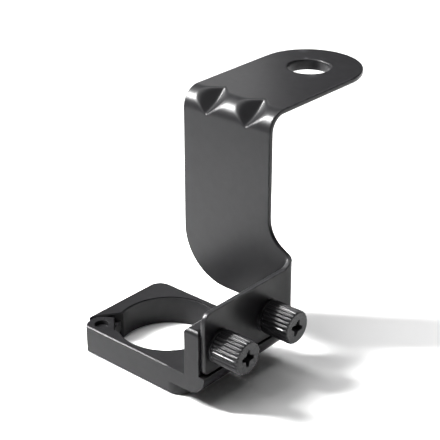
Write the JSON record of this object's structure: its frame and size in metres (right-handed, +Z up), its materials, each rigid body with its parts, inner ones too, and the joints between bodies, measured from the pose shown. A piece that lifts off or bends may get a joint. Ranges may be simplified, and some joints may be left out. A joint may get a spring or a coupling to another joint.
{
  "type": "phone mount",
  "caption": "Bicycle phone mount: a hinged collar for a 28.6 mm tube with a bent sheet bracket, held by knurled thumb screws, that ends in a flat tab with a drawn hole.",
  "frame": {"origin": "centre of the clamp bore on the collar's lower face", "axes": "+Z up along the clamp bore, +X the way the thumb screw heads point, +Y the way the top tab points"},
  "size_m": [0.0568, 0.0892, 0.07],
  "materials": {
    "anodised": "satin black anodised, machined",
    "powder_coat": "satin black powder coat on steel sheet",
    "black_steel": "black oxide on steel, knurled",
    "pin_steel": "black oxide on steel, turned"
  },
  "bodies": {
    "front_clamp": {"front_clamp_half": "anodised", "hinge_pin": "pin_steel", "bracket": "powder_coat"},
    "rear_clamp": {"rear_clamp_half": "anodised"},
    "near_washer_body": {"near_washer": "pin_steel"},
    "near_screw_body": {"near_thumb_screw": "black_steel"},
    "far_washer_body": {"far_washer": "pin_steel"},
    "far_screw_body": {"far_thumb_screw": "black_steel"}
  },
  "joints": [
    {"name": "collar_hinge", "type": "hinge", "parent": "front_clamp", "child": "rear_clamp", "pos_m": [-0.0136, -0.0129, 0.0042], "axis": [0, 0, 1], "range_deg": [0, 9.5]},
    {"name": "near_screw_travel", "type": "slide", "parent": "front_clamp", "child": "near_washer_body", "axis": [1, 0, 0], "range_m": [0, 0.005]},
    {"name": "near_screw_turn", "type": "hinge", "parent": "near_washer_body", "child": "near_screw_body", "pos_m": [0.0277, -0.00995, 0.0169], "axis": [1, 0, 0], "range_deg": [0, 2250]},
    {"name": "far_screw_travel", "type": "slide", "parent": "front_clamp", "child": "far_washer_body", "axis": [1, 0, 0], "range_m": [0, 0.005]},
    {"name": "far_screw_turn", "type": "hinge", "parent": "far_washer_body", "child": "far_screw_body", "pos_m": [0.0277, 0.01025, 0.0169], "axis": [1, 0, 0], "range_deg": [0, 2250]}
  ],
  "couplings": [
    {"joint": "near_screw_turn", "follows": "near_screw_travel", "rad_per_m": 7854},
    {"joint": "far_screw_turn", "follows": "far_screw_travel", "rad_per_m": 7854}
  ]
}
